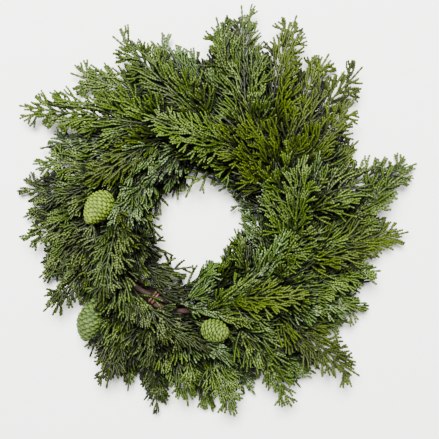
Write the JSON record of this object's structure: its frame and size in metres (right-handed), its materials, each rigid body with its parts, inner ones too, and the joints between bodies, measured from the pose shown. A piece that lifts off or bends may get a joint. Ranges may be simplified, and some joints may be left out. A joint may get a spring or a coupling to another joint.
{
  "type": "evergreen wreath",
  "caption": "Round wreath of fresh cypress sprays swept one way round a twisted grapevine ring, with closed green cones, to hang on a door or lie round a candle.",
  "frame": {"origin": "middle of the footprint, on the surface that the wreath lies on", "axes": "+Z out of the wreath's face, +Y to its top as it hangs, +X to the right of someone who looks at its face"},
  "size_m": [0.5758, 0.5902, 0.0912],
  "materials": {
    "vine_bark": "dry, stringy red-brown grapevine bark",
    "tendril_bark": "smooth dry tendril",
    "cone_scales": "closed fresh green cone with a pale waxy bloom",
    "spray_green": "fresh scale leaves, satin, mid green",
    "spray_bright": "fresh scale leaves, satin, yellow green",
    "spray_grey": "fresh scale leaves, waxy, grey green"
  },
  "bodies": {
    "root": {"vine_1": "vine_bark", "vine_2": "vine_bark", "tendril_1": "tendril_bark", "tendril_2": "tendril_bark", "tendril_3": "tendril_bark", "cone_left": "cone_scales", "cone_lower_left": "cone_scales", "cone_lower": "cone_scales", "spray_outer_1": "spray_green", "spray_outer_2": "spray_green", "spray_outer_3": "spray_green", "spray_outer_4": "spray_grey", "spray_outer_5": "spray_green", "spray_outer_6": "spray_green", "spray_outer_7": "spray_bright", "spray_outer_8": "spray_bright", "spray_outer_9": "spray_bright", "spray_outer_10": "spray_bright", "spray_outer_11": "spray_bright", "spray_outer_12": "spray_green", "spray_outer_13": "spray_green", "spray_outer_14": "spray_bright", "spray_outer_15": "spray_green", "spray_outer_16": "spray_green", "spray_outer_17": "spray_bright", "spray_outer_18": "spray_green", "spray_outer_19": "spray_green", "spray_outer_20": "spray_grey", "spray_outer_21": "spray_green", "spray_outer_22": "spray_green", "spray_outer_23": "spray_green", "spray_outer_24": "spray_grey", "spray_outer_25": "spray_bright", "spray_outer_26": "spray_green", "spray_outer_27": "spray_green", "spray_outer_28": "spray_bright", "spray_outer_29": "spray_green", "spray_outer_30": "spray_green", "spray_outer_31": "spray_green", "spray_outer_32": "spray_green", "spray_inner_1": "spray_grey", "spray_inner_2": "spray_grey", "spray_inner_3": "spray_green", "spray_inner_4": "spray_green", "spray_inner_5": "spray_green", "spray_inner_6": "spray_green", "spray_inner_7": "spray_green", "spray_inner_8": "spray_green", "spray_inner_9": "spray_grey", "spray_inner_10": "spray_grey", "spray_inner_11": "spray_grey", "spray_inner_12": "spray_grey", "spray_front_1": "spray_bright", "spray_front_2": "spray_green", "spray_front_3": "spray_bright", "spray_front_4": "spray_green", "spray_front_5": "spray_green", "spray_front_6": "spray_bright", "spray_front_7": "spray_green", "spray_front_8": "spray_green"}
  },
  "joints": []
}
